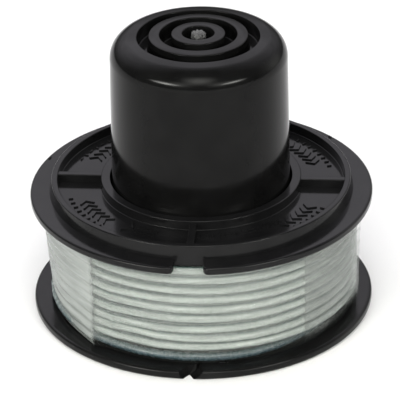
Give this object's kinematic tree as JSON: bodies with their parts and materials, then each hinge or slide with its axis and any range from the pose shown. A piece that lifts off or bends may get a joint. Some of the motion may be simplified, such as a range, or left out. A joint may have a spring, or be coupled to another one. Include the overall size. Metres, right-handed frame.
{
  "type": "string trimmer line reel",
  "caption": "Round line reel for a tap-feed garden trimmer: two flanges, a wound drum under a clear wrap, and a tall sprung tap knob.",
  "frame": {"origin": "centre of the lower flange's underside, where the reel stands", "axes": "+Z along the reel's axis, up through the tap knob; -Y through the notch in the upper flange and the line slot in the lower flange"},
  "size_m": [0.0686, 0.0685, 0.0586],
  "materials": {
    "black_plastic": "satin moulded black polypropylene",
    "flange_plastic": "satin moulded black polypropylene",
    "knob_plastic": "smooth moulded black nylon",
    "ratchet_plastic": "natural acetal",
    "bronze": "sintered bronze",
    "zinc_steel": "zinc plated steel",
    "spring_steel": "oiled spring steel",
    "nylon_line": "translucent nylon",
    "clear_film": "clear stretch film"
  },
  "bodies": {
    "spool": {"reel_body": "black_plastic", "upper_flange": "flange_plastic", "guide_hub": "black_plastic", "drive_ratchet": "ratchet_plastic", "hub_bushing": "bronze", "spring_seat": "zinc_steel", "line_winding": "nylon_line", "line_anchor_end": "nylon_line", "retaining_film": "clear_film", "knob_spring": "spring_steel"},
    "knob": {"bump_knob": "knob_plastic", "stem_pin": "zinc_steel", "retaining_clip": "spring_steel"}
  },
  "joints": [
    {"name": "knob_press", "type": "slide", "parent": "spool", "child": "knob", "axis": [0, 0, -1], "range_m": [0, 0.006], "stiffness_N_per_m": 910, "springref_m": -0.004, "deforming": ["knob_spring"]}
  ]
}
